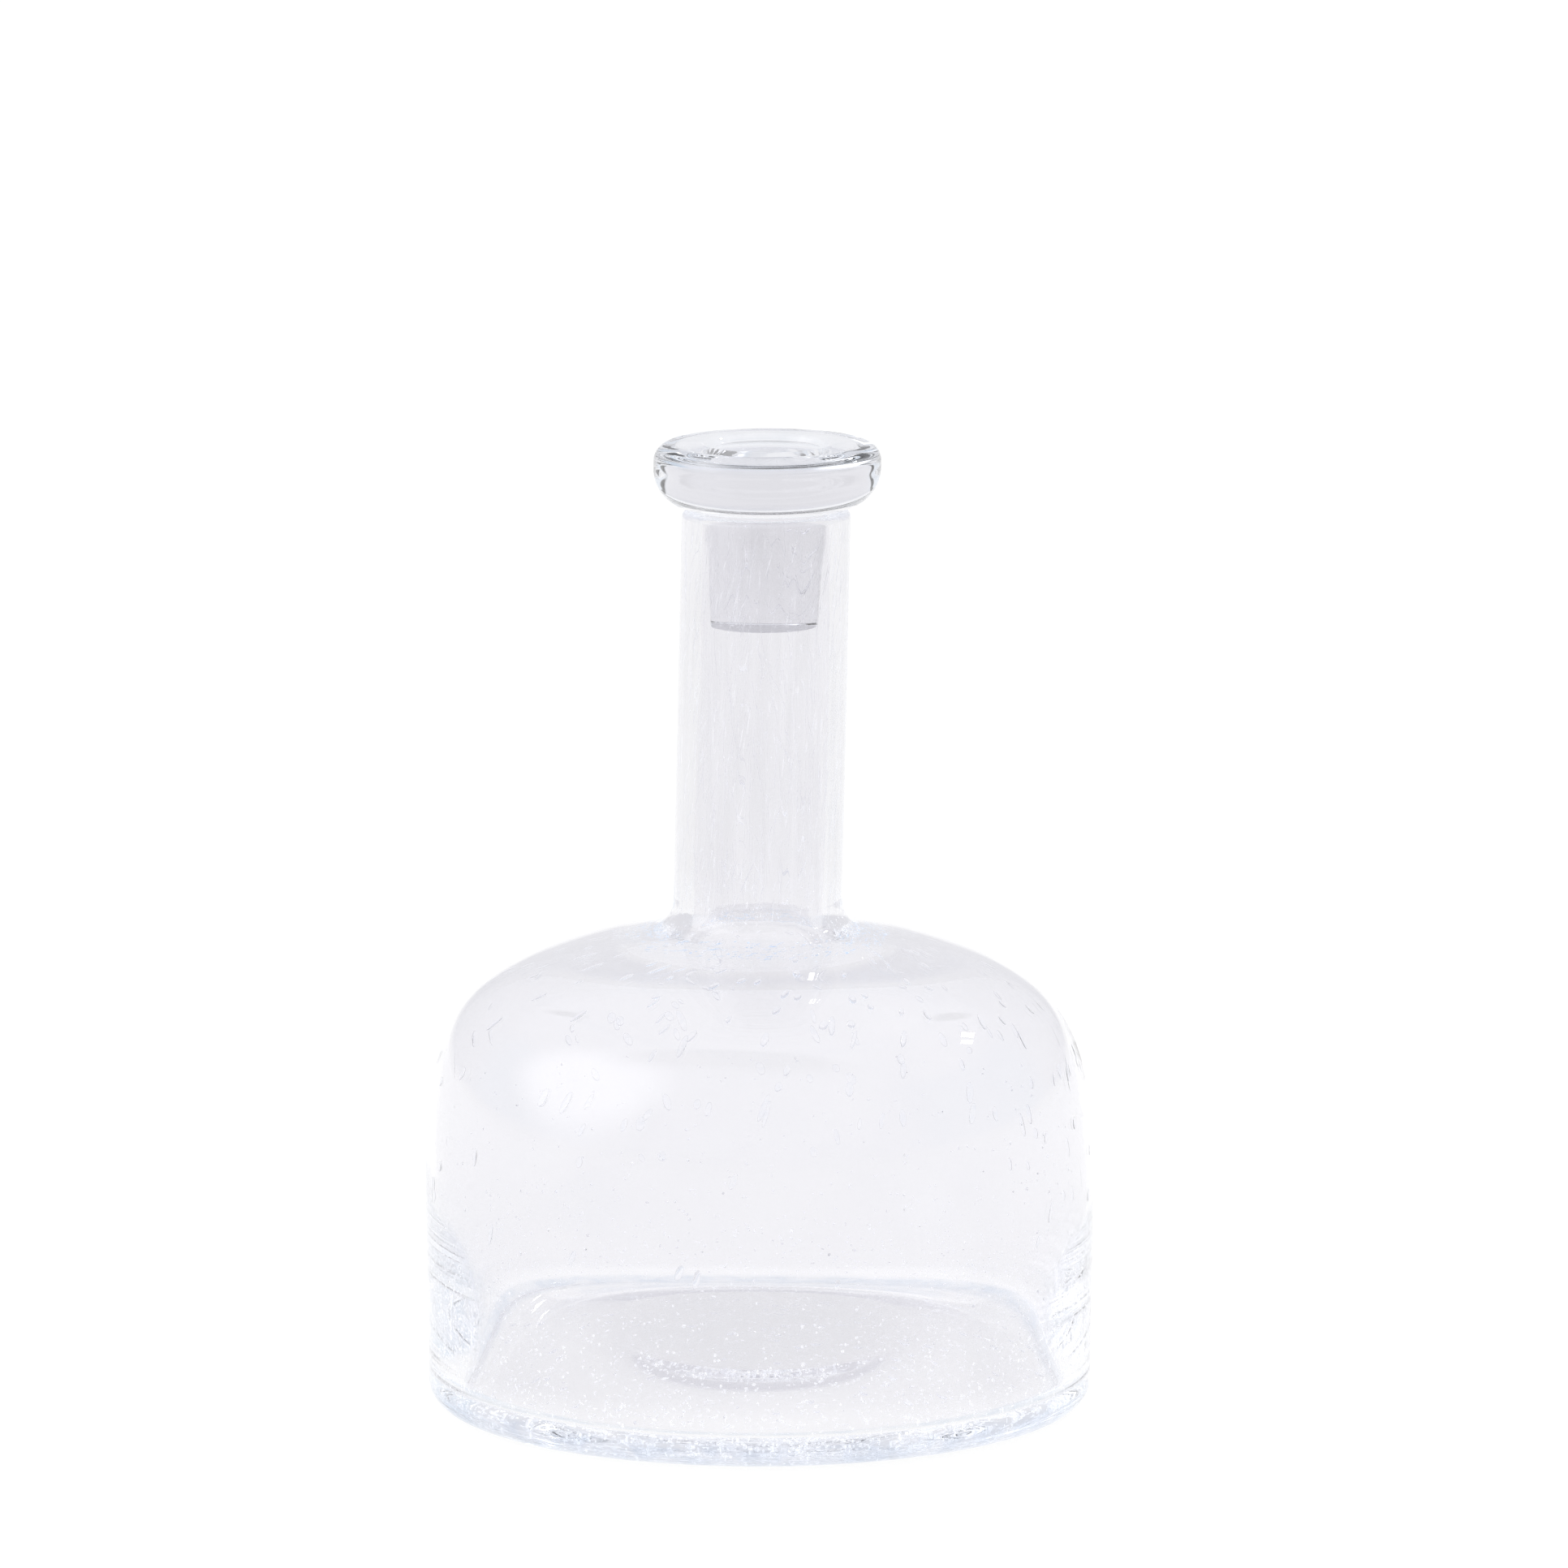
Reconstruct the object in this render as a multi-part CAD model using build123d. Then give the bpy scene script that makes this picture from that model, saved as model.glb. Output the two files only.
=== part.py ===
from build123d import *
from math import cos, radians, sin
import os

# Stoppered glass bud vase: one blown bottle-shaped vessel and one solid lift-out stopper.
# Millimetres, +Z up, origin at the centre of the foot on the plane it rests on.
# Both pieces are bodies of revolution about Z; profiles are drawn as (radius, height).

# Vessel, outside
HEEL_RADIUS = 4.8         # rounded corner between foot and wall
HEEL_TOP_R = 68.5         # wall radius just above the heel
BELLY = (69.0, 44.0)      # widest part of the wall (radius, height)
SHOULDER_OUT = ((67.84, 65.1), (65.4, 75.1), (60.6, 83.1), (52.8, 89.1), (42.0, 93.8), (30.4, 97.2))
SHOULDER_LEAN = 77.5      # degrees from vertical where the dome runs on to the neck
NECK_RADIUS = 17.4
NECK_FILLET = 6.0         # hollow corner between shoulder and neck
RIM_Z = 185.9
RIM_OUT_FILLET = 1.2
RIM_IN_FILLET = 0.8

# Vessel, inside
BORE_RADIUS = 13.0
FLOOR_Z = 5.5             # floor beside the wall
FLOOR_CORNER = 3.0        # inside corner between floor and wall
INNER_FOOT_R = 62.6       # wall is about 6 mm thick just above the floor
INNER_BELLY = (67.3, 44.0)  # wall has thinned to 1.7 mm at the belly
SHOULDER_IN = ((65.95, 64.9), (63.63, 74.4), (59.14, 81.7), (51.8, 87.1), (41.15, 91.4), (29.8, 94.3))
BORE_FLARE = 8.0          # rounded lip where the bore opens into the belly

# The middle of the base is pushed up, underside and floor alike
KICK = 5.0
KICK_TOP_R = 34.0         # radius of its level top
KICK_R = 60.0             # where the underside meets the flat resting ring

# Stopper
HEAD_Z = 186.6            # underside, just clear of the rim
HEAD_HEIGHT = 13.4
HEAD_TOP_FLAT_R = 19.75
HEAD_TOP_CORNER = 3.6
HEAD_LOW_CORNER = 8.2
DISH_RADIUS = 13.7
DISH_DEPTH = 1.3
DISH_EDGE = 0.9
PLUG_TOP_R = 12.55        # 0.45 mm clear of the bore at the mouth
PLUG_TIP_R = 10.9
PLUG_TIP_Z = 162.5
PLUG_TIP_FILLET = 0.8
PLUG_ROOT_FILLET = 0.6


def at(r, z):
    return Vector(r, 0, z)


def lean_vector(lean):
    """Direction up a wall that leans inward by this many degrees from vertical."""
    return -sin(radians(lean)), 0, cos(radians(lean))


def wall(foot, belly):
    """Side wall, vertical at both ends and flowing outward between them."""
    return Spline(at(*foot), at(*belly), tangents=[(0, 0, 1), (0, 0, 1)])


def dome(belly, points):
    """Shoulder curve from the vertical belly to the leaning top of the dome."""
    ends = [(0, 0, 1), lean_vector(SHOULDER_LEAN)]
    return Spline(at(*belly), *[at(*p) for p in points], tangents=ends)


def up_to_tube(start, lean, tube_r, corner):
    """Straight run up the dome, then a corner arc that turns into the vertical tube of radius tube_r."""
    turn_r = tube_r + corner * (1 - cos(radians(lean)))
    turn_z = start[1] + (start[0] - turn_r) / sin(radians(lean)) * cos(radians(lean))
    end_z = turn_z + corner * sin(radians(lean))
    half = radians(lean / 2)
    middle = at(tube_r + corner * (1 - cos(half)), end_z - corner * sin(half))
    run = Line(at(*start), at(turn_r, turn_z))
    bend = ThreePointArc(at(turn_r, turn_z), middle, at(tube_r, end_z))
    return [run, bend], (tube_r, end_z)


def kick(rest_r, rest_z):
    """Level top of the pushed-up middle, then a smooth run down and out to the ring at this radius and height."""
    top = at(KICK_TOP_R, rest_z + KICK)
    level = Line(at(0, rest_z + KICK), top)
    return [level, Spline(top, at(rest_r, rest_z), tangents=[(1, 0, 0), (1, 0, 0)])]


def revolved(edges):
    return revolve(make_face(Wire(edges)), axis=Axis.Z, revolution_arc=360)


def outer_envelope():
    wall_foot = (HEEL_TOP_R, HEEL_RADIUS)
    foot = Line(at(KICK_R, 0), at(HEEL_TOP_R - HEEL_RADIUS, 0))
    k = HEEL_RADIUS * sin(radians(45))
    heel_mid = at(HEEL_TOP_R - HEEL_RADIUS + k, HEEL_RADIUS - k)
    heel = ThreePointArc(at(HEEL_TOP_R - HEEL_RADIUS, 0), heel_mid, at(*wall_foot))
    side = wall(wall_foot, BELLY)
    top = dome(BELLY, SHOULDER_OUT)
    throat, neck_foot = up_to_tube(SHOULDER_OUT[-1], SHOULDER_LEAN, NECK_RADIUS, NECK_FILLET)
    neck = Line(at(*neck_foot), at(NECK_RADIUS, RIM_Z))
    rim = Line(at(NECK_RADIUS, RIM_Z), at(0, RIM_Z))
    axis = Line(at(0, RIM_Z), at(0, KICK))
    return revolved([*kick(KICK_R, 0), foot, heel, side, top, *throat, neck, rim, axis])


def hollow():
    corner_r = INNER_FOOT_R - FLOOR_CORNER
    wall_foot = (INNER_FOOT_R, FLOOR_Z + FLOOR_CORNER)
    k = FLOOR_CORNER * sin(radians(45))
    corner_mid = at(corner_r + k, FLOOR_Z + FLOOR_CORNER - k)
    corner = ThreePointArc(at(corner_r, FLOOR_Z), corner_mid, at(*wall_foot))
    side = wall(wall_foot, INNER_BELLY)
    top = dome(INNER_BELLY, SHOULDER_IN)
    throat, bore_foot = up_to_tube(SHOULDER_IN[-1], SHOULDER_LEAN, BORE_RADIUS, BORE_FLARE)
    bore = Line(at(*bore_foot), at(BORE_RADIUS, RIM_Z + 5))
    lid = Line(at(BORE_RADIUS, RIM_Z + 5), at(0, RIM_Z + 5))
    axis = Line(at(0, RIM_Z + 5), at(0, FLOOR_Z + KICK))
    return revolved([*kick(corner_r, FLOOR_Z), corner, side, top, *throat, bore, lid, axis])


def rim_edges(part, radius):
    circles = part.edges().filter_by(GeomType.CIRCLE)
    return [e for e in circles if abs(e.radius - radius) < 0.01 and abs(e.center().Z - RIM_Z) < 0.01]


def vase_body():
    part = outer_envelope() - hollow()
    part = fillet(rim_edges(part, NECK_RADIUS), RIM_OUT_FILLET)
    return fillet(rim_edges(part, BORE_RADIUS), RIM_IN_FILLET)


def head():
    top_z = HEAD_Z + HEAD_HEIGHT
    widest = HEAD_TOP_FLAT_R + HEAD_TOP_CORNER
    low_r = widest - HEAD_LOW_CORNER
    c = sin(radians(45))
    underside = Line(at(0, HEAD_Z), at(low_r, HEAD_Z))
    low_mid = at(low_r + HEAD_LOW_CORNER * c, HEAD_Z + HEAD_LOW_CORNER * (1 - c))
    low = ThreePointArc(at(low_r, HEAD_Z), low_mid, at(widest, HEAD_Z + HEAD_LOW_CORNER))
    side = Line(at(widest, HEAD_Z + HEAD_LOW_CORNER), at(widest, top_z - HEAD_TOP_CORNER))
    top_mid = at(HEAD_TOP_FLAT_R + HEAD_TOP_CORNER * c, top_z - HEAD_TOP_CORNER * (1 - c))
    corner = ThreePointArc(at(widest, top_z - HEAD_TOP_CORNER), top_mid, at(HEAD_TOP_FLAT_R, top_z))
    top = Line(at(HEAD_TOP_FLAT_R, top_z), at(0, top_z))
    axis = Line(at(0, top_z), at(0, HEAD_Z))
    return revolved([underside, low, side, corner, top, axis])


def dish():
    """Shallow saucer pressed into the top of the head."""
    top_z = HEAD_Z + HEAD_HEIGHT
    bowl = Pos(0, 0, top_z) * Cylinder(DISH_RADIUS, 2 * DISH_DEPTH)
    floor_edge = bowl.edges().filter_by(GeomType.CIRCLE).sort_by(Axis.Z)[0]
    return fillet(floor_edge, DISH_EDGE)


def plug():
    """Tapered plug, overlapping the head so that the two fuse into one solid."""
    length = HEAD_Z - PLUG_TIP_Z
    cone = Pos(0, 0, PLUG_TIP_Z + length / 2) * Cone(PLUG_TIP_R, PLUG_TOP_R, length)
    tip = cone.edges().filter_by(GeomType.CIRCLE).sort_by(Axis.Z)[0]
    return fillet(tip, PLUG_TIP_FILLET)


def stopper():
    part = head() - dish() + plug()
    circles = part.edges().filter_by(GeomType.CIRCLE)
    root = [e for e in circles if abs(e.radius - PLUG_TOP_R) < 0.01 and abs(e.center().Z - HEAD_Z) < 0.01]
    return fillet(root, PLUG_ROOT_FILLET)


os.makedirs("parts", exist_ok=True)
export_step(vase_body(), "parts/vase_body.step")
export_step(stopper(), "parts/stopper.step")
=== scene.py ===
from collections import namedtuple
from math import cos, pi, radians, sin, tan

import bmesh
import bpy
import numpy as np
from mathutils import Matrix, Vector

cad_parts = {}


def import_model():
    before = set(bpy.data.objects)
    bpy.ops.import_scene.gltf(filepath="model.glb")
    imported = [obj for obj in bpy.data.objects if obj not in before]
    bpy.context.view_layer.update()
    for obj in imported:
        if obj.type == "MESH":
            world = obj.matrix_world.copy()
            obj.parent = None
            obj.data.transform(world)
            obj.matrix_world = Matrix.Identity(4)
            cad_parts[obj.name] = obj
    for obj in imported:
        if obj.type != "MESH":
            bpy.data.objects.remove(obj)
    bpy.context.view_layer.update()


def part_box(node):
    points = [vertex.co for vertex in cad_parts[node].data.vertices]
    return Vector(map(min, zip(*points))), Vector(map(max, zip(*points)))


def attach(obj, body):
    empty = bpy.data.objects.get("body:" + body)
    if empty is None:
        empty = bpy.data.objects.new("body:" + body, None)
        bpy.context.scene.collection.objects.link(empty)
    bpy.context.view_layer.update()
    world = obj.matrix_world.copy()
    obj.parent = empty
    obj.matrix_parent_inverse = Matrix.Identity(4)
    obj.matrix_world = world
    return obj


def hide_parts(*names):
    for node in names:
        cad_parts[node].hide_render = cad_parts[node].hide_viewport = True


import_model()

# The vase is drawn in metres, from the same driving dimensions as its CAD solids, except where a comment
# says otherwise. Its neck leans a little and its glass is slightly uneven; the solids are exactly round.
MM = 0.001
BODY_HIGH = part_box("vase_body")[1]
STOPPER_LOW, STOPPER_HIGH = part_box("stopper")

# Vessel, outside
BELLY_R = BODY_HIGH[0]
BELLY_Z = 44 * MM
HEEL_RADIUS = 4.8 * MM    # rounded corner between foot and wall
FOOT_R = 68.5 * MM - HEEL_RADIUS
NECK_R = 17.4 * MM
NECK_FILLET = 6 * MM      # hollow corner between shoulder and neck
RIM_Z = BODY_HIGH[2]
RIM_OUT_FILLET = 1.2 * MM
RIM_IN_FILLET = 0.8 * MM
DOME_LEAN = radians(77.5)  # how far the dome leans in where it runs on to the neck
# Radius and height in mm, from the belly up
SHOULDER_OUT = ((67.84, 65.1), (65.4, 75.1), (60.6, 83.1), (52.8, 89.1), (42.0, 93.8), (30.4, 97.2))

# Vessel, inside
INNER_BELLY_R = 67.3 * MM
INNER_FOOT_R = 62.6 * MM
BORE_R = 13.0 * MM
BORE_FLARE = 8 * MM
FLOOR_Z = 5.5 * MM        # floor beside the wall; its middle is pushed up
FLOOR_CORNER = 3.0 * MM
SHOULDER_IN = ((65.95, 64.9), (63.63, 74.4), (59.14, 81.7), (51.8, 87.1), (41.15, 91.4), (29.8, 94.3))

# The middle of the base is pushed up, underside and floor alike
KICK = 5.0 * MM
KICK_TOP_R = 31.0 * MM    # 34 mm in the CAD solid
KICK_R = 60.0 * MM

# Stopper
TOP_Z = STOPPER_HIGH[2]
HEAD_R = STOPPER_HIGH[0]
HEAD_Z = 186.6 * MM
HEAD_LOW_CORNER = 8.2 * MM
HEAD_TOP_CORNER = 3.6 * MM
DISH_R = 13.7 * MM
DISH_DEPTH = 1.3 * MM
PLUG_TOP_R = 12.55 * MM
PLUG_TIP_R = 10.9 * MM
PLUG_TIP_Z = STOPPER_LOW[2]
PLUG_TIP_FILLET = 0.3 * MM  # 0.8 mm in the CAD solid

# What blowing by hand leaves in the shape
SHAPE_SEED = 11
NECK_FOOT_Z = 98 * MM
DRIFT_LOW = -0.5 * MM     # sideways at the foot of the neck
DRIFT_GAIN = 1.9 * MM     # further sideways from there to the rim
CAVITY_SHIFT = 0.6 * MM   # the wall is thicker on one side
BELLY_RIPPLE = 0.10 * MM
NECK_RIPPLE_OUT = 0.02 * MM
NECK_RIPPLE_IN = 0.04 * MM
DRAW_TWIST = 2.0          # radians per metre that the drawn ripples turn round the neck

# How many points trace each curve
SEGMENTS = 192
WALL_POINTS = 40
DOME_POINTS = 72
KICK_POINTS = 50


# ---------------------------------------------------------------- outlines (radius, height)

def line(a, b, count):
    t = np.linspace(0, 1, count)[:, None]
    return np.array(a) * (1 - t) + np.array(b) * t


def arc(centre, radius, start, end, count):
    """Arc of a circle between two angles in degrees, measured from the outward radius."""
    t = np.radians(np.linspace(start, end, count))
    return np.stack([centre[0] + radius * np.cos(t), centre[1] + radius * np.sin(t)], axis=1)


def spline(points, start, end, count):
    """Smooth cubic through the points, with the given directions at its two ends."""
    p = np.array(points, float)
    step = np.linalg.norm(np.diff(p, axis=0), axis=1)
    knot = np.concatenate([[0], np.cumsum(step)])
    n = len(p)
    # Slopes that let the curvature run on through every point
    a = np.zeros((n, n))
    b = np.zeros((n, 2))
    a[0, 0] = a[-1, -1] = 1
    b[0] = np.array(start) / np.linalg.norm(start)
    b[-1] = np.array(end) / np.linalg.norm(end)
    for i in range(1, n - 1):
        before, after = step[i - 1], step[i]
        a[i, i - 1 : i + 2] = after, 2 * (before + after), before
        b[i] = 3 * (after * (p[i] - p[i - 1]) / before + before * (p[i + 1] - p[i]) / after)
    slope = np.linalg.solve(a, b)
    # One cubic for each stretch, from the points and slopes at its ends
    u = np.linspace(0, knot[-1], count)
    k = np.clip(np.searchsorted(knot, u, side="right") - 1, 0, n - 2)
    h = step[k][:, None]
    t = ((u - knot[k]) / step[k])[:, None]
    return (
        (1 + 2 * t) * (1 - t) ** 2 * p[k]
        + t * (1 - t) ** 2 * h * slope[k]
        + t**2 * (3 - 2 * t) * p[k + 1]
        + t**2 * (t - 1) * h * slope[k + 1]
    )


def joined(*runs):
    """One outline from runs that meet end to start."""
    out = [runs[0]]
    for run in runs[1:]:
        out.append(run[1:])
    return np.concatenate(out)


def ramp(value, start, end):
    """Smooth 0 to 1 as value goes from start to end."""
    t = np.clip((value - start) / (end - start), 0, 1)
    return t * t * (3 - 2 * t)


def wall(foot, belly):
    """Side wall, vertical at both ends and flowing outward between them."""
    return spline([foot, belly], (0, 1), (0, 1), WALL_POINTS)


def dome(belly, points):
    """Shoulder curve from the vertical belly to the leaning top of the dome."""
    through = [belly] + [(r * MM, z * MM) for r, z in points]
    return spline(through, (0, 1), (-sin(DOME_LEAN), cos(DOME_LEAN)), DOME_POINTS)


def throat(top, tube_r, corner, tube_end, counts):
    """From the top of the dome through a corner arc and up a vertical tube."""
    turn_r = tube_r + corner * (1 - cos(DOME_LEAN))
    turn_z = top[1] + (top[0] - turn_r) / tan(DOME_LEAN)
    centre = (tube_r + corner, turn_z + corner * sin(DOME_LEAN))
    start = 180 + np.degrees(DOME_LEAN)
    run = line(top, (turn_r, turn_z), counts[0])
    bend = arc(centre, corner, start, 180, counts[1])
    tube = line((tube_r, centre[1]), (tube_r, tube_end), counts[2])
    return joined(run, bend, tube)


def kick(rest_r, rest_z):
    """Pushed-up middle, from the axis out to where it comes to rest at this radius and height."""
    across = np.linspace(0, rest_r, KICK_POINTS)
    return np.stack([across, rest_z + KICK * ramp(across, rest_r, KICK_TOP_R)], axis=1)


def outer_outline():
    """Outside of the vessel, from the centre of its underside up to the rim."""
    belly = (BELLY_R, BELLY_Z)
    shoulder = dome(belly, SHOULDER_OUT)
    lip = RIM_OUT_FILLET
    return joined(
        kick(KICK_R, 0),
        line((KICK_R, 0), (FOOT_R, 0), 4),
        arc((FOOT_R, HEEL_RADIUS), HEEL_RADIUS, -90, 0, 16),
        wall((FOOT_R + HEEL_RADIUS, HEEL_RADIUS), belly),
        shoulder,
        throat(shoulder[-1], NECK_R, NECK_FILLET, RIM_Z - lip, (6, 16, 34)),
        arc((NECK_R - lip, RIM_Z - lip), lip, 0, 90, 8),
    )


def inner_outline():
    """Inside of the vessel, from the centre of its floor up to the mouth."""
    belly = (INNER_BELLY_R, BELLY_Z)
    shoulder = dome(belly, SHOULDER_IN)
    corner = FLOOR_CORNER
    lip = RIM_IN_FILLET
    return joined(
        kick(INNER_FOOT_R - corner, FLOOR_Z),
        arc((INNER_FOOT_R - corner, FLOOR_Z + corner), corner, -90, 0, 14),
        wall((INNER_FOOT_R, FLOOR_Z + corner), belly),
        shoulder,
        throat(shoulder[-1], BORE_R, BORE_FLARE, RIM_Z - lip, (6, 18, 34)),
        arc((BORE_R + lip, RIM_Z - lip), lip, 180, 90, 8),
    )


def stopper_outline():
    """Stopper, from the centre of the plug's tip up to the centre of the dish.

    The dish's edge is rolled over and the plug meets the head in a sharp corner. The CAD solid has a small
    hollow corner at both."""
    low, high = HEAD_LOW_CORNER, HEAD_TOP_CORNER
    tip, tip_r = PLUG_TIP_FILLET, PLUG_TIP_R
    dish = DISH_DEPTH
    return joined(
        line((0, PLUG_TIP_Z), (tip_r - tip, PLUG_TIP_Z), 12),
        arc((tip_r - tip, PLUG_TIP_Z + tip), tip, -90, 0, 8),
        line((tip_r, PLUG_TIP_Z + tip), (PLUG_TOP_R, HEAD_Z), 30),
        line((PLUG_TOP_R, HEAD_Z), (HEAD_R - low, HEAD_Z), 4),
        arc((HEAD_R - low, HEAD_Z + low), low, -90, 0, 24),
        line((HEAD_R, HEAD_Z + low), (HEAD_R, TOP_Z - high), 6),
        arc((HEAD_R - high, TOP_Z - high), high, 0, 90, 24),
        line((HEAD_R - high, TOP_Z), (DISH_R, TOP_Z), 6),
        arc((DISH_R, TOP_Z - dish), dish, 90, 180, 10),
        line((DISH_R - dish, TOP_Z - dish), (0, TOP_Z - dish), 12),
    )


# ---------------------------------------------------------------- meshes

def mesh_piece(name, verts, faces, smooth=True):
    """Object from an array of points and a list or array of faces."""
    mesh = bpy.data.meshes.new(name)
    mesh.from_pydata(verts.tolist(), [], [tuple(f) for f in faces])
    if smooth:
        mesh.shade_smooth()
    piece = bpy.data.objects.new(name, mesh)
    bpy.context.collection.objects.link(piece)
    return piece


def lathe(name, outline, place):
    """Closed body of revolution. place(r, z, angle, k) puts ring k of the outline in space."""
    angle = np.linspace(0, 2 * pi, SEGMENTS, endpoint=False)
    count = len(outline)
    rings = [place(*outline[k], angle, k) for k in range(1, count - 1)]
    poles = [place(*outline[k], np.zeros(1), k) for k in (0, count - 1)]
    verts = np.concatenate(rings + poles)
    here = np.arange(SEGMENTS)
    beside = (here + 1) % SEGMENTS
    low = np.arange(count - 3)[:, None] * SEGMENTS
    high = low + SEGMENTS
    quads = np.stack([low + here, low + beside, high + beside, high + here], axis=-1).reshape(-1, 4)
    last_ring = (count - 3) * SEGMENTS
    first_pole = (count - 2) * SEGMENTS
    last_pole = first_pole + 1
    start = np.stack([np.full(SEGMENTS, first_pole), beside, here], axis=-1)
    finish = np.stack([np.full(SEGMENTS, last_pole), last_ring + here, last_ring + beside], axis=-1)
    return mesh_piece(name, verts, quads.tolist() + start.tolist() + finish.tolist())


def neck_drift(z):
    """Sideways drift of the hand-drawn neck and its stopper."""
    up = np.clip((z - NECK_FOOT_Z) / (RIM_Z - NECK_FOOT_Z), 0, None)
    return (DRIFT_LOW + DRIFT_GAIN * up) * ramp(z, 60 * MM, 100 * MM)


def ripple(rng, waves, around, along, twist=0.0):
    """Sum of random waves over the angle and the height: what blowing and turning leave in the glass."""
    turns = rng.integers(around[0], around[1] + 1, waves)
    rises = rng.uniform(-along, along, waves)
    phases = rng.uniform(0, 2 * pi, waves)
    sizes = rng.uniform(0.4, 1.0, waves) / np.sqrt(waves)

    def height(z, angle):
        total = 0
        for n, k, phase, size in zip(turns, rises, phases, sizes):
            total = total + size * np.sin(n * (angle + twist * z) + 2 * pi * k * z + phase)
        return total

    return height


def vase_shape():
    """place(r, z, angle, depth) puts a point of the vase wall in space, depth 0 outside to 1 inside."""
    rng = np.random.default_rng(SHAPE_SEED)
    outer_wave = ripple(rng, waves=8, around=(1, 4), along=18)
    inner_wave = ripple(rng, waves=14, around=(1, 6), along=30)
    outer_draw = ripple(rng, waves=18, around=(5, 24), along=8, twist=DRAW_TWIST)
    inner_draw = ripple(rng, waves=26, around=(7, 34), along=12, twist=DRAW_TWIST)

    def place(r, z, angle, depth):
        on_neck = ramp(z, NECK_FOOT_Z, 108 * MM) * ramp(z, RIM_Z, RIM_Z - 4 * MM)
        on_belly = ramp(z, 40 * MM, 70 * MM) * ramp(z, 104 * MM, 94 * MM) * ramp(r, 2 * MM, 20 * MM)
        outside = on_belly * BELLY_RIPPLE * outer_wave(z, angle)
        outside = outside + on_neck * NECK_RIPPLE_OUT * outer_draw(z, angle)
        inside = on_belly * BELLY_RIPPLE * inner_wave(z, angle)
        inside = inside + on_neck * NECK_RIPPLE_IN * inner_draw(z, angle)
        radius = r + outside * (1 - depth) + inside * depth
        off_centre = CAVITY_SHIFT * ramp(z, 60 * MM, 20 * MM) * ramp(r, 0, 60 * MM) * depth
        x = radius * np.cos(angle) + off_centre + neck_drift(z)
        return np.stack(np.broadcast_arrays(x, radius * np.sin(angle), z), axis=-1)

    return place


def glass_body(place):
    outer = outer_outline()
    inner = inner_outline()
    outline = np.concatenate([outer, inner[::-1]])
    depth = (np.arange(len(outline)) >= len(outer)).astype(float)
    return lathe("vase_glass", outline, lambda r, z, angle, k: place(r, z, angle, depth[k]))


def glass_stopper():
    def place(r, z, angle, k):
        x = r * np.cos(angle) + neck_drift(z)
        return np.stack(np.broadcast_arrays(x, r * np.sin(angle), z), axis=-1)

    return lathe("stopper_glass", stopper_outline(), place)


# ---------------------------------------------------------------- bubbles

SPECK = 1                 # subdivisions of a bubble too small to show its facets
ROUND = 3                 # subdivisions of a bubble large enough to show them
SKIN = 0.12 * MM          # glass left between a bubble and the surface
END_SKIN = 0.3 * MM       # glass left beyond its ends
TILT_SPREAD = 0.12        # radians
TILT_LIMIT = 3 * TILT_SPREAD


def ball(level):
    """Points and faces of a round unit ball, its faces turned inward: a hole in the glass."""
    shape = bmesh.new()
    bmesh.ops.create_icosphere(shape, subdivisions=level, radius=1.0)
    verts = np.array([v.co[:] for v in shape.verts])
    faces = np.array([[v.index for v in f.verts][::-1] for f in shape.faces])
    shape.free()
    return verts, faces


def to_polyline(points, path):
    """Distance from each point to a polyline, and the direction of its nearest stretch."""
    start, run = path[:-1], np.diff(path, axis=0)
    length2 = (run**2).sum(1)
    best = np.full(len(points), np.inf)
    nearest = np.zeros(len(points), int)
    for i in range(len(start)):
        t = np.clip(((points - start[i]) @ run[i]) / length2[i], 0, 1)
        gap = np.linalg.norm(points - start[i] - t[:, None] * run[i], axis=1)
        closer = gap < best
        best[closer], nearest[closer] = gap[closer], i
    return best, run[nearest] / np.sqrt(length2[nearest])[:, None]


def in_section(points, outer, inner):
    """True for points of the (radius, height) plane that lie in the glass."""
    ring = np.concatenate([outer, inner[::-1]])
    hit = np.zeros(len(points), bool)
    for (r0, z0), (r1, z1) in zip(ring, np.roll(ring, -1, axis=0)):
        crosses = (z0 > points[:, 1]) != (z1 > points[:, 1])
        if crosses.any():
            cut = (r1 - r0) * (points[:, 1] - z0) / (z1 - z0) + r0
            hit ^= crosses & (points[:, 0] < cut)
    return hit


def spots(rng, count, zone, sizes, slant, rise):
    """Places in the glass with room for bubbles of these sizes.

    Gives their radius, height and depth, their three half sizes, and which way the wall runs there. A bubble
    lies in the glass from end to end, and its leaning ends have room to swing out of the round wall."""
    outer, inner = outer_outline(), inner_outline()
    (r0, r1), (z0, z1) = zone
    spans = np.log(sizes)
    kept = []
    while sum(len(k[0]) for k in kept) < count:
        tries = 4 * count
        r = np.sqrt(rng.uniform(r0**2, r1**2, tries))
        z = rng.uniform(z0, z1, tries)
        pick = rng.uniform(0, 1, tries) < (1 if rise is None else rise(z))
        half = [np.exp(rng.uniform(low, high, tries)) / 2 for low, high in spans]
        half[2] = np.minimum(half[2], half[1])
        points = np.stack([r, z], axis=1)
        from_outside, along = to_polyline(points, outer)
        from_inside, _ = to_polyline(points, inner)
        depth = from_outside / (from_outside + from_inside)
        swing = (half[0] * sin(abs(slant) + TILT_LIMIT)) ** 2 / (2 * r)
        fits = pick & (np.minimum(from_outside, from_inside) > half[2] + swing + SKIN)
        for reach in (-1, 0, 1):
            fits &= in_section(points + reach * (half[0] + END_SKIN)[:, None] * along, outer, inner)
        kept.append([v[fits] for v in (r, z, depth, *half, along[:, 0], along[:, 1])])
    return [np.concatenate(v)[:count] for v in zip(*kept)]


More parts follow.
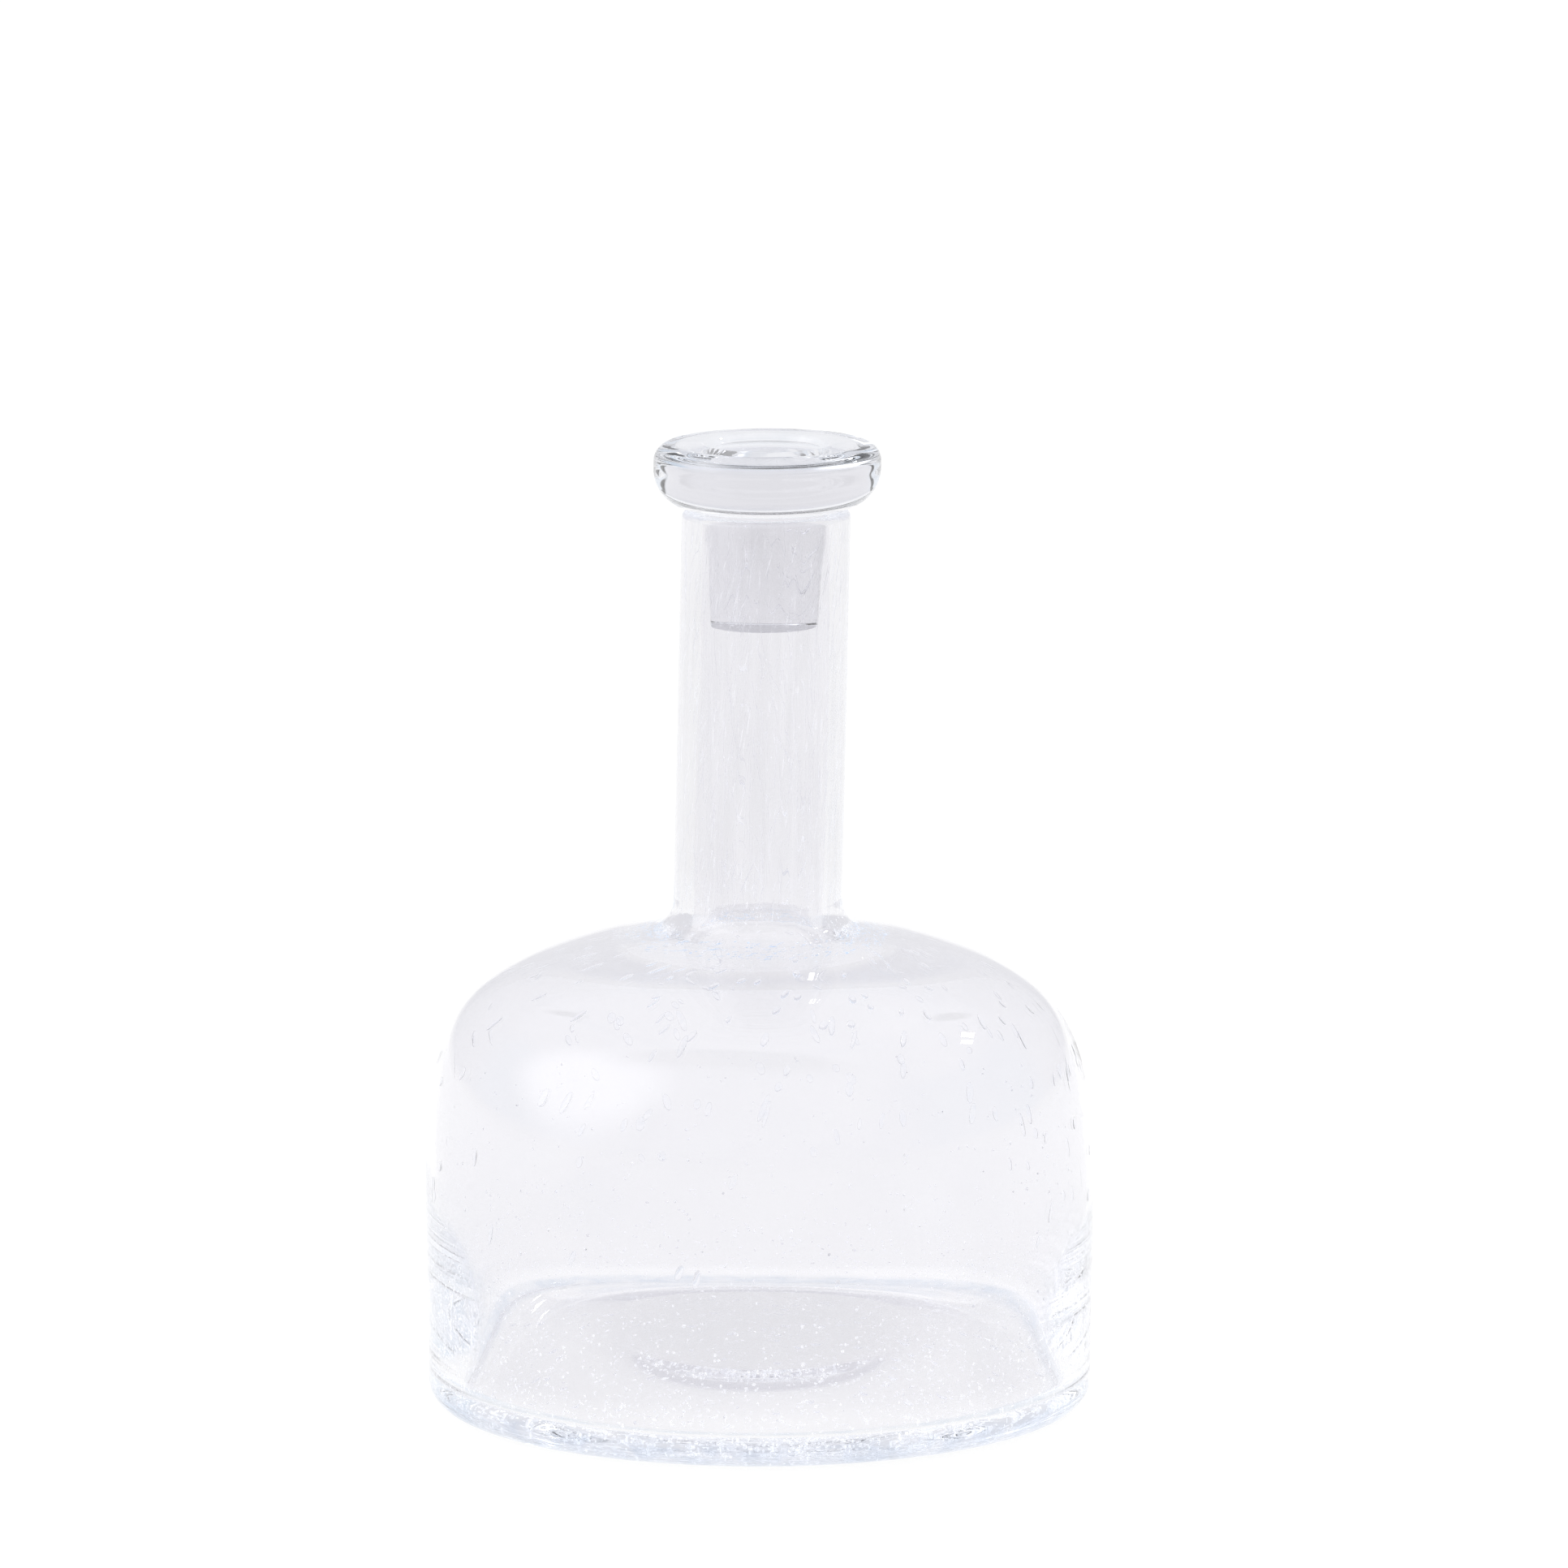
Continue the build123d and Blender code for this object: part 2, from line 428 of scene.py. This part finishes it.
def swarm(level, centres, half_axes):
    """Points and faces of many balls, each stretched along three half axes of its own."""
    verts, faces = ball(level)
    cloud = centres[:, None]
    for i, axis in enumerate(half_axes):
        cloud = cloud + verts[None, :, i : i + 1] * axis[:, None]
    index = faces[None] + (np.arange(len(centres)) * len(verts))[:, None, None]
    return cloud.reshape(-1, 3), index.reshape(-1, 3)


def seeds(name, place, seed, count, zone, length, width, thickness, slant=0.0, level=SPECK, rise=None):
    """Bubbles in the glass between two radii and two heights.

    length, width and thickness are ranges of full size, along the wall, around it and through it.
    slant leans them over, in radians. rise(z) thins them out with height."""
    rng = np.random.default_rng(seed)
    sizes = (length, width, thickness)
    r, z, depth, a, b, c, along_r, along_z = spots(rng, count, zone, sizes, slant, rise)
    angle = rng.uniform(0, 2 * pi, count)
    tilt = np.clip(rng.normal(slant, TILT_SPREAD, count), slant - TILT_LIMIT, slant + TILT_LIMIT)[:, None]
    outward = np.stack([np.cos(angle), np.sin(angle), 0 * angle], axis=1)
    sideways = np.stack([-np.sin(angle), np.cos(angle), 0 * angle], axis=1)
    upward = np.array([[0, 0, 1.0]])
    foot, top = [place(r + way * a * along_r, z + way * a * along_z, angle, depth) for way in (-1, 1)]
    up_wall = (top - foot) / (2 * a)[:, None]
    lengthwise = np.cos(tilt) * up_wall + np.sin(tilt) * sideways
    across = -np.sin(tilt) * up_wall + np.cos(tilt) * sideways
    through = along_z[:, None] * outward - along_r[:, None] * upward
    half_axes = (a[:, None] * lengthwise, b[:, None] * across, c[:, None] * through)
    verts, faces = swarm(level, place(r, z, angle, depth), half_axes)
    return mesh_piece(name, verts, faces, smooth=level == ROUND)


# ---------------------------------------------------------------- nodes

def between(tree, value, start, full, kind="LINEAR"):
    """Mask that rises from 0 to 1 as value goes from start to full."""
    step = tree.nodes.new("ShaderNodeMapRange")
    step.interpolation_type = kind
    step.inputs["From Min"].default_value = start
    step.inputs["From Max"].default_value = full
    tree.links.new(value, step.inputs["Value"])
    return step.outputs["Result"]


def product(tree, a, b):
    times = tree.nodes.new("ShaderNodeMath")
    times.operation = "MULTIPLY"
    tree.links.new(a, times.inputs[0])
    tree.links.new(b, times.inputs[1])
    return times.outputs["Value"]


def blend(tree, mask):
    """Colour mix node driven by a mask, with its two colours still to be set."""
    mix = tree.nodes.new("ShaderNodeMix")
    mix.data_type = "RGBA"
    tree.links.new(mask, mix.inputs["Factor"])
    return mix


# ---------------------------------------------------------------- glass

# How finely a tint drifts, in waves per metre along x, y and z
BROAD = (60, 60, 60)
CORDS = (420, 420, 30)
MOTTLED = (150, 150, 150)
FINE = (900, 900, 900)

# A part of the glass with tints of its own, or with painted shade. A range runs from where the zone starts to
# where it is full.
Zone = namedtuple("Zone", "heights radii deep pale scale")
PALE = (0.924, 0.921, 0.938)
DEEP = (0.914, 0.911, 0.930)
BY_FLOOR = (13 * MM, 9 * MM)
BY_NECK = (94 * MM, 112 * MM)
FLOOR_ZONE = Zone(BY_FLOOR, None, (0.965, 0.963, 0.975), (0.99, 0.988, 0.998), BROAD)
# Painted shade: the middle of the floor is tinted darker, standing in for the shade under the pushed-up
# middle of the base.
KICK_SHADE_ZONE = Zone(
    (13 * MM, 11.5 * MM), (40 * MM, 26 * MM), (0.885, 0.885, 0.903), (0.903, 0.901, 0.917), BROAD
)
BORE_ZONE = Zone(BY_NECK, None, (0.935, 0.932, 0.95), (0.975, 0.972, 0.988), CORDS)
NECK_ZONE = Zone(BY_NECK, (15 * MM, 16.5 * MM), (0.785, 0.782, 0.80), (0.84, 0.837, 0.855), CORDS)
FOOT_ZONE = Zone((7 * MM, 4 * MM), (59 * MM, 62 * MM), (0.66, 0.73, 0.84), (0.88, 0.90, 0.94), MOTTLED)
BODY_ZONES = (FLOOR_ZONE, KICK_SHADE_ZONE, BORE_ZONE, NECK_ZONE, FOOT_ZONE)
# Painted shade: the top of the stopper's head is tinted darker, standing in for the dark surroundings seen in
# it.
HEAD_TOP_SHADE_ZONE = Zone((196 * MM, 198.5 * MM), None, (0.72, 0.75, 0.80), (0.83, 0.85, 0.89), MOTTLED)


def glass_material(name, pale, deep, scale, ior=1.5, glow=0.0, zones=()):
    """Clear glass whose faint colour drifts between two tints, and between others in its zones.

    glow stands in for the light that a bubble passes on from its neighbours."""
    material = bpy.data.materials.new(name)
    material.use_nodes = True
    tree = material.node_tree
    nodes, links = tree.nodes, tree.links
    shader = nodes["Principled BSDF"]
    shader.inputs["Roughness"].default_value = 0.0
    shader.inputs["IOR"].default_value = ior
    shader.inputs["Transmission Weight"].default_value = 1.0
    shader.inputs["Emission Color"].default_value = (1, 1, 1, 1)
    shader.inputs["Emission Strength"].default_value = glow
    where = nodes.new("ShaderNodeTexCoord")
    split = nodes.new("ShaderNodeSeparateXYZ")
    links.new(where.outputs["Object"], split.inputs["Vector"])
    flat = nodes.new("ShaderNodeCombineXYZ")
    links.new(split.outputs["X"], flat.inputs["X"])
    links.new(split.outputs["Y"], flat.inputs["Y"])
    radius = nodes.new("ShaderNodeVectorMath")
    radius.operation = "LENGTH"
    links.new(flat.outputs["Vector"], radius.inputs[0])

    def drift(low, high, size):
        stretch = nodes.new("ShaderNodeMapping")
        stretch.inputs["Scale"].default_value = size
        noise = nodes.new("ShaderNodeTexNoise")
        noise.inputs["Scale"].default_value = 1.0
        noise.inputs["Detail"].default_value = 4.0
        noise.inputs["Distortion"].default_value = 0.6
        tint = nodes.new("ShaderNodeValToRGB")
        tint.color_ramp.elements[0].position = 0.35
        tint.color_ramp.elements[0].color = (*low, 1)
        tint.color_ramp.elements[1].position = 0.65
        tint.color_ramp.elements[1].color = (*high, 1)
        links.new(where.outputs["Object"], stretch.inputs["Vector"])
        links.new(stretch.outputs["Vector"], noise.inputs["Vector"])
        links.new(noise.outputs["Fac"], tint.inputs["Fac"])
        return tint.outputs["Color"]

    colour = drift(deep, pale, scale)
    for zone in zones:
        mask = between(tree, split.outputs["Z"], *zone.heights)
        if zone.radii:
            mask = product(tree, mask, between(tree, radius.outputs["Value"], *zone.radii))
        mix = blend(tree, mask)
        links.new(colour, mix.inputs["A"])
        links.new(drift(zone.deep, zone.pale, zone.scale), mix.inputs["B"])
        colour = mix.outputs["Result"]
    links.new(colour, shader.inputs["Base Color"])
    return material


# ---------------------------------------------------------------- studio

# Azimuths are degrees round the vase, from the camera towards the right of the picture. Elevations are
# degrees up.
CEILING = (0.93, 0.93, 0.97)
SIDES = (0.78, 0.85, 0.93)
SWEEP = (0.84, 0.84, 0.87)
WINDOW = (1.9, 1.9, 1.95)
HORIZON = (0.01, 0.06)    # a direction's upward part: where the white horizon ends and the sky is full
HIGH_SKY = (0.66, 0.50)   # where the sweep and the sides start, coming down, and are full
BEHIND = (0.25, 0.55)     # a direction's part away from the camera: where the sweep starts and is full
BESIDE = (0.65, 0.35)     # its part towards or away from the camera: where the sides start and are full
FLOOR_REACH = 12.0
FLOOR_DROP = 0.4 * MM     # keeps the floor clear of the foot
FLOOR_GLOW = 0.95         # makes it nearly white without any light on it
STOPPER_MIDDLE = (0, 0, 193 * MM)
VASE_MIDDLE = (0, 0, 100 * MM)
# A card's falloff is 1 at its middle and 0 at its edge. It is fully black where that is above this.
CARD_FULL = 0.25
CAMERA_AT = (5.03 * MM, -2.667, 0.5993)
CAMERA_DOWN = 10.0        # degrees
SENSOR = 36               # mm wide
LENS = 302.4              # mm


def direction(azimuth, elevation):
    a, e = radians(azimuth), radians(elevation)
    return Vector((sin(a) * cos(e), -cos(a) * cos(e), sin(e)))


def sheet(name, x, y):
    """Flat rectangle reaching this far either side of its middle, with a material of its own."""
    mesh = bpy.data.meshes.new(name)
    mesh.from_pydata([(-x, -y, 0), (x, -y, 0), (x, y, 0), (-x, y, 0)], [], [(0, 1, 2, 3)])
    plane = bpy.data.objects.new(name, mesh)
    bpy.context.collection.objects.link(plane)
    material = bpy.data.materials.new(name)
    material.use_nodes = True
    mesh.materials.append(material)
    return plane, material.node_tree


def floor():
    plane, tree = sheet("floor", FLOOR_REACH, FLOOR_REACH)
    plane.location.z = -FLOOR_DROP
    shader = tree.nodes["Principled BSDF"]
    shader.inputs["Base Color"].default_value = (0.05, 0.05, 0.05, 1)
    shader.inputs["Roughness"].default_value = 0.9
    shader.inputs["Emission Color"].default_value = (1, 1, 1, 1)
    shader.inputs["Emission Strength"].default_value = FLOOR_GLOW


def world():
    """White horizon, pale ceiling, a greyer sweep behind, bluish sides, and a bright window on the left."""
    sky = bpy.data.worlds.new("studio")
    sky.use_nodes = True
    bpy.context.scene.world = sky
    tree = sky.node_tree
    nodes, links = tree.nodes, tree.links
    where = nodes.new("ShaderNodeTexCoord")
    split = nodes.new("ShaderNodeSeparateXYZ")
    links.new(where.outputs["Generated"], split.inputs["Vector"])

    def fade(value, start, full):
        return between(tree, value, start, full, "SMOOTHSTEP")

    def over(under, colour, mask):
        mix = blend(tree, mask)
        links.new(under, mix.inputs["A"])
        mix.inputs["B"].default_value = (*colour, 1)
        return mix.outputs["Result"]

    def patch(azimuth, elevation, wide, narrow):
        """Round patch of sky that fades in between these two angles from its centre."""
        dot = nodes.new("ShaderNodeVectorMath")
        dot.operation = "DOT_PRODUCT"
        dot.inputs[1].default_value = direction(azimuth, elevation)
        links.new(where.outputs["Generated"], dot.inputs[0])
        return fade(dot.outputs["Value"], cos(radians(wide)), cos(radians(narrow)))

    white = nodes.new("ShaderNodeRGB")
    white.outputs["Color"].default_value = (1, 1, 1, 1)
    up, along = split.outputs["Z"], split.outputs["Y"]
    above = fade(up, *HORIZON)
    low = product(tree, above, fade(up, *HIGH_SKY))
    off_axis = nodes.new("ShaderNodeMath")
    off_axis.operation = "ABSOLUTE"
    links.new(along, off_axis.inputs[0])
    sky_all = over(white.outputs["Color"], CEILING, above)
    sky_back = over(sky_all, SWEEP, product(tree, low, fade(along, *BEHIND)))
    sky_sides = over(sky_back, SIDES, product(tree, low, fade(off_axis.outputs["Value"], *BESIDE)))
    sky_window = over(sky_sides, WINDOW, patch(-73, 32, wide=35, narrow=12))
    links.new(sky_window, nodes["Background"].inputs["Color"])


def facing(thing, azimuth, elevation, distance, target):
    """Put a thing this far from the target, facing it and out of the camera's sight."""
    thing.location = direction(azimuth, elevation) * distance + Vector(target)
    thing.rotation_euler = (Vector(target) - thing.location).to_track_quat("-Z", "Y").to_euler()
    thing.visible_camera = False


def black_card(name, azimuth, elevation, distance, size):
    """Black card that fades out towards its edge. Close to the stopper, it gives its edges dark lines."""
    x, y = size[0] / 2, size[1] / 2
    card, tree = sheet(name, x, y)
    nodes, links = tree.nodes, tree.links
    shader = nodes["Principled BSDF"]
    shader.inputs["Base Color"].default_value = (0.01, 0.01, 0.01, 1)
    shader.inputs["Roughness"].default_value = 1
    shader.inputs["Specular IOR Level"].default_value = 0
    where = nodes.new("ShaderNodeTexCoord")
    shape = nodes.new("ShaderNodeMapping")
    shape.inputs["Scale"].default_value = (1 / x, 1 / y, 1)
    soft = nodes.new("ShaderNodeTexGradient")
    soft.gradient_type = "QUADRATIC_SPHERE"
    links.new(where.outputs["Object"], shape.inputs["Vector"])
    links.new(shape.outputs["Vector"], soft.inputs["Vector"])
    links.new(between(tree, soft.outputs["Fac"], 0, CARD_FULL), shader.inputs["Alpha"])
    facing(card, azimuth, elevation, distance, STOPPER_MIDDLE)
    card.visible_glossy = False


def softbox(name, azimuth, elevation, distance, size, power):
    lamp = bpy.data.lights.new(name, "AREA")
    lamp.shape = "RECTANGLE"
    lamp.size, lamp.size_y = size
    lamp.energy = power
    light = bpy.data.objects.new(name, lamp)
    facing(light, azimuth, elevation, distance, VASE_MIDDLE)
    bpy.context.collection.objects.link(light)


def camera():
    lens = bpy.data.cameras.new("camera")
    lens.sensor_width = SENSOR
    lens.lens = LENS
    lens.clip_end = 60
    view = bpy.data.objects.new("camera", lens)
    view.location = CAMERA_AT
    view.rotation_euler = (radians(90 - CAMERA_DOWN), 0, 0)
    bpy.context.collection.objects.link(view)
    bpy.context.scene.camera = view


camera()
floor()
world()
softbox("right_spot", azimuth=122, elevation=42, distance=1.5, size=(0.10, 0.10), power=8)
black_card("card_front", azimuth=-14, elevation=22, distance=0.08, size=(0.28, 0.18))
black_card("card_left", azimuth=-130, elevation=5, distance=0.13, size=(0.016, 0.06))
black_card("card_right", azimuth=130, elevation=5, distance=0.13, size=(0.024, 0.06))


# ---------------------------------------------------------------- pieces

place = vase_shape()
vase = glass_body(place)
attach(vase, "vase")
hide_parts("vase_body")
vase.data.materials.append(glass_material("bubble_glass", PALE, DEEP, BROAD, zones=BODY_ZONES))

stopper = glass_stopper()
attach(stopper, "stopper")
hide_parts("stopper")
stopper.data.materials.append(glass_material("stopper_glass", PALE, DEEP, BROAD, zones=(HEAD_TOP_SHADE_ZONE,)))

# The bubbles glow a little: painted light, for the light they pass on from their neighbours. The sparks are
# painted glints: bluish bubbles that glow.
bubble = glass_material("bubble", (1, 1, 1), (0.97, 0.98, 1.0), FINE, glow=0.045)
leaf = glass_material("leaf_bubble", (1, 1, 1), (0.95, 0.96, 0.98), FINE, ior=1.22, glow=0.012)
cord = glass_material("cord", (1, 1, 1), (0.93, 0.93, 0.96), FINE)
spark = glass_material("spark", (0.93, 0.96, 1.0), (0.62, 0.78, 0.97), FINE, ior=1.3, glow=0.05)


def mm(low, high):
    """A range of sizes, radii or heights given in millimetres."""
    return low * MM, high * MM


def fewer_upward(least, height):
    """Share of the bubbles kept at height z: all of them at z = 0, falling towards the least share."""
    return lambda z: least + (1 - least) * np.exp(-z / (height * MM))


# Where bubbles lie: between which radii and which heights
NECK = (mm(12, 18), mm(104, 184))
ROOT = (mm(14, 32), mm(92, 108))
COLLAR = (mm(18, 27), mm(92, 99))
DOME = (mm(20, 69), mm(66, 97))
BAND = (mm(62, 69.5), mm(38, 74))
WALL = (mm(60, 70), mm(8, 64))
FOOT = (mm(58, 69), mm(1, 14))
BASE = (mm(0, 60), mm(0, 12))

# Ranges of bubble size
HAIR = mm(0.12, 0.3)
LEAF = mm(0.2, 0.45)
THIN = mm(0.2, 0.6)
SEED = mm(0.3, 0.95)

# Each row has a name, the shape they follow, a random seed, a count and a zone, then the ranges of length,
# width and thickness.
bubbles = {
    bubble: [
        seeds("neck_streaks", place, 21, 500, NECK, mm(1.5, 7), mm(0.10, 0.22), HAIR, slant=0.14),
        seeds("neck_seeds", place, 22, 600, NECK, mm(0.2, 0.7), HAIR, HAIR),
        seeds("root_seeds", place, 23, 600, ROOT, mm(0.3, 1.4), mm(0.15, 0.4), HAIR, slant=0.3),
        seeds("wall_seeds", place, 25, 2200, WALL, SEED, SEED, THIN, rise=fewer_upward(0.2, 20)),
        seeds("foot_seeds", place, 29, 900, FOOT, mm(0.3, 1.4), mm(0.25, 0.8), THIN),
        seeds("base_seeds", place, 26, 1500, BASE, SEED, SEED, THIN),
    ],
    leaf: [
        seeds("dome_leaves", place, 24, 190, DOME, mm(2.0, 6.0), mm(0.8, 1.8), LEAF, slant=0.35, level=ROUND),
        seeds("band_leaves", place, 28, 60, BAND, mm(2.0, 4.6), mm(1.1, 2.1), LEAF, slant=0.35, level=ROUND),
        seeds("base_bubbles", place, 27, 140, BASE, mm(1.0, 2.4), mm(1.0, 2.2), mm(0.5, 1.1), level=ROUND),
    ],
    cord: [
        seeds("neck_cords", place, 30, 700, NECK, mm(3, 14), mm(0.08, 0.18), mm(0.08, 0.2), slant=0.1),
        seeds("wall_specks", place, 31, 250, WALL, SEED, SEED, THIN, rise=fewer_upward(0.3, 30)),
    ],
    spark: [
        seeds("collar_sparks", place, 32, 500, COLLAR, mm(0.4, 2.2), mm(0.2, 0.7), HAIR, slant=1.2),
    ],
}
for look, pieces in bubbles.items():
    for piece in pieces:
        piece.data.materials.append(look)
        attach(piece, "vase")

# Light passes many glass surfaces here, so it needs many bounces.
scene = bpy.context.scene
scene.view_settings.view_transform = "Standard"
scene.cycles.max_bounces = 96
scene.cycles.transmission_bounces = 96
scene.cycles.glossy_bounces = 48
scene.cycles.diffuse_bounces = 4
scene.cycles.use_denoising = True
